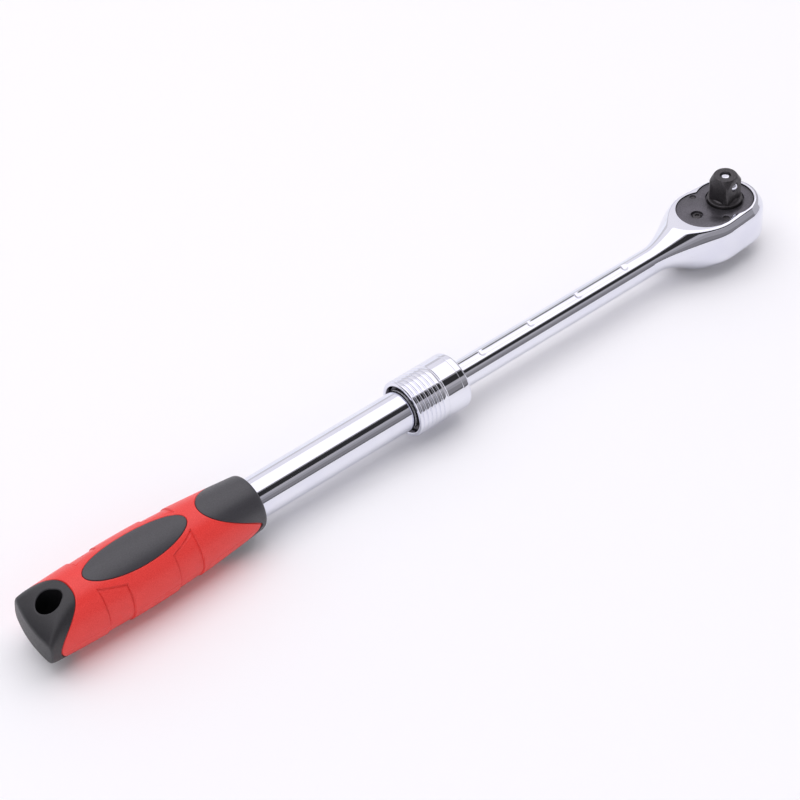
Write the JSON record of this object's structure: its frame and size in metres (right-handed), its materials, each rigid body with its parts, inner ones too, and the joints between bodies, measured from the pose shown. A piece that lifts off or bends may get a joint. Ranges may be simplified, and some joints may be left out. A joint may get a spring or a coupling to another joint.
{
  "type": "extendable_ratchet_handle",
  "caption": "Extendable ratchet handle with a square drive, quick-release ball, ribbed locking collar, chrome rod and tube, and a red and black grip with a hang hole",
  "frame": {"origin": "on the drive axis, at the shoulder where the square leaves its hub", "axes": "+Z leaves the head along the square drive, +X runs along the handle to the grip's tail"},
  "size_m": [0.4721, 0.0414, 0.0471],
  "materials": {
    "chrome": "polished chrome plate",
    "black_oxide": "black phosphate steel",
    "plain_steel": "ground steel",
    "brass": "machined bearing bronze",
    "red_plastic": "satin moulded red",
    "hard_black_plastic": "moulded",
    "soft_black": "soft matte moulding"
  },
  "bodies": {
    "head": {"head_and_rod": "chrome", "cover_plate": "black_oxide", "cover_screw": "black_oxide", "plate_pins": "black_oxide", "pawl_pin": "plain_steel", "selector_snap_ring": "plain_steel", "rod_end_bush": "brass", "rod_end_screw": "plain_steel"},
    "drive": {"drive_gear": "black_oxide", "release_retaining_ring": "plain_steel", "release_spring": "plain_steel"},
    "release": {"release_rod": "chrome", "release_button": "black_oxide"},
    "socket_ball": {"detent_ball": "chrome"},
    "rocker": {"pawl": "plain_steel"},
    "selector": {"reversing_lever": "black_oxide", "selector_spring": "plain_steel", "selector_ball": "plain_steel"},
    "handle": {"outer_tube": "chrome", "lock_sleeve": "plain_steel", "collar_circlip": "plain_steel", "spring_washer": "black_oxide", "collar_spring": "plain_steel", "tube_end_plug": "hard_black_plastic", "grip_core": "hard_black_plastic", "grip_body": "red_plastic", "front_cuff": "soft_black", "upper_oval_pad": "soft_black", "lower_oval_pad": "soft_black", "end_cap": "soft_black"},
    "collar": {"locking_collar": "chrome"},
    "rod_lock": {"lock_ball": "plain_steel"}
  },
  "joints": [
    {"name": "drive_turn", "type": "hinge", "parent": "head", "child": "drive", "pos_m": [0, 0, 0], "axis": [0, 0, 1], "continuous": true},
    {"name": "release_press", "type": "slide", "parent": "drive", "child": "release", "axis": [0, 0, 1], "range_m": [0, 0.003], "stiffness_N_per_m": 400, "springref_m": -0.002, "deforming": ["release_spring"]},
    {"name": "socket_ball_drop", "type": "slide", "parent": "drive", "child": "socket_ball", "axis": [0.1305, -0.9914, 0], "range_m": [0, 0.00075]},
    {"name": "pawl_rock", "type": "hinge", "parent": "head", "child": "rocker", "pos_m": [0.01373, 0, -0.0137], "axis": [0, 0, 1], "range_deg": [-5.6, 0]},
    {"name": "lever_turn", "type": "hinge", "parent": "head", "child": "selector", "pos_m": [0.0214, 0, -0.0137], "axis": [0, 0, 1], "range_deg": [0, 44]},
    {"name": "handle_slide", "type": "slide", "parent": "head", "child": "handle", "axis": [-1, 0, 0], "range_m": [0, 0.132]},
    {"name": "collar_slide", "type": "slide", "parent": "handle", "child": "collar", "axis": [1, 0, 0], "range_m": [0, 0.006], "stiffness_N_per_m": 600, "springref_m": -0.003, "deforming": ["collar_spring"]},
    {"name": "lock_ball_lift", "type": "slide", "parent": "handle", "child": "rod_lock", "axis": [0, 0.1392, 0.9903], "range_m": [0, 0.0009]}
  ],
  "couplings": [
    {"joint": "socket_ball_drop", "follows": "release_press", "ratio": 0.25},
    {"joint": "pawl_rock", "follows": "lever_turn", "ratio": -0.12727},
    {"joint": "lock_ball_lift", "follows": "collar_slide", "ratio": 0.15}
  ]
}
